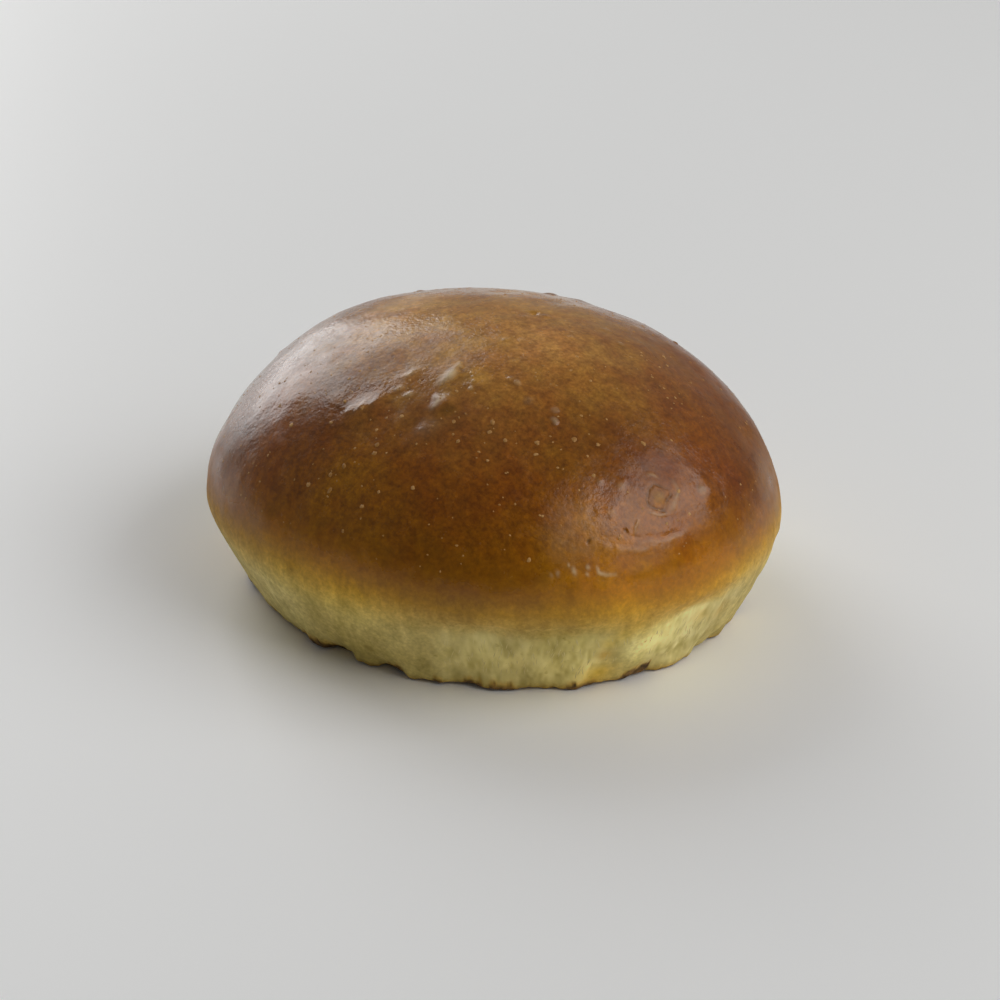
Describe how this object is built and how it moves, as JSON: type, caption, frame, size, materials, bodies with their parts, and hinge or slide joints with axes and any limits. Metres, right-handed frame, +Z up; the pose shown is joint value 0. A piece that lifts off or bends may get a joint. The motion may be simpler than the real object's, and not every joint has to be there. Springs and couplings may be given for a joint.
{
  "type": "brioche bun",
  "caption": "Plain oval brioche bun with a glossy browned dome, a pale torn side below it and a flat ragged-edged base.",
  "frame": {"origin": "middle of the flat base, on the surface that the bun stands on", "axes": "+Z up through the dome, +X along the longer way of the oval"},
  "size_m": [0.111, 0.0976, 0.0527],
  "materials": {
    "crust": "egg-washed baked crust with a soft sheen; the torn side below it is pale yellow crumb"
  },
  "bodies": {
    "root": {"bun": "crust"}
  },
  "joints": []
}
